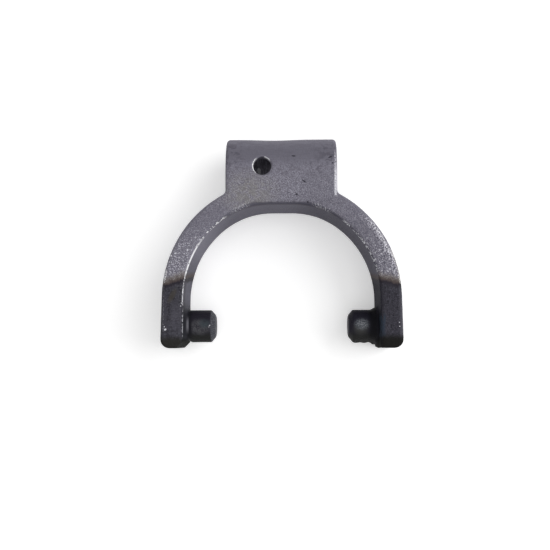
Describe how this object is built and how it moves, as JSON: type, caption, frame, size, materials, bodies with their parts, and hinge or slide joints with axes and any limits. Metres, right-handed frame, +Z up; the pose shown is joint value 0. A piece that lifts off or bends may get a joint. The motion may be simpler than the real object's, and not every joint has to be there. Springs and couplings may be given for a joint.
{
  "type": "clutch fork",
  "caption": "One-piece forged steel release fork: a pinned hub on a cross shaft carries a round bow with two legs, each with a short round pin pointing inwards.",
  "frame": {"origin": "centre of the shaft bore, halfway along the hub and halfway through the thickness", "axes": "+X along the shaft bore, +Y from the legs to the hub, +Z up through the front face, the one the picture shows"},
  "size_m": [0.0534, 0.048, 0.015],
  "materials": {
    "clutch_fork": "shot-blasted forging, feet and pins darkened by hardening"
  },
  "bodies": {
    "root": {"clutch_fork": "clutch_fork"}
  },
  "joints": []
}
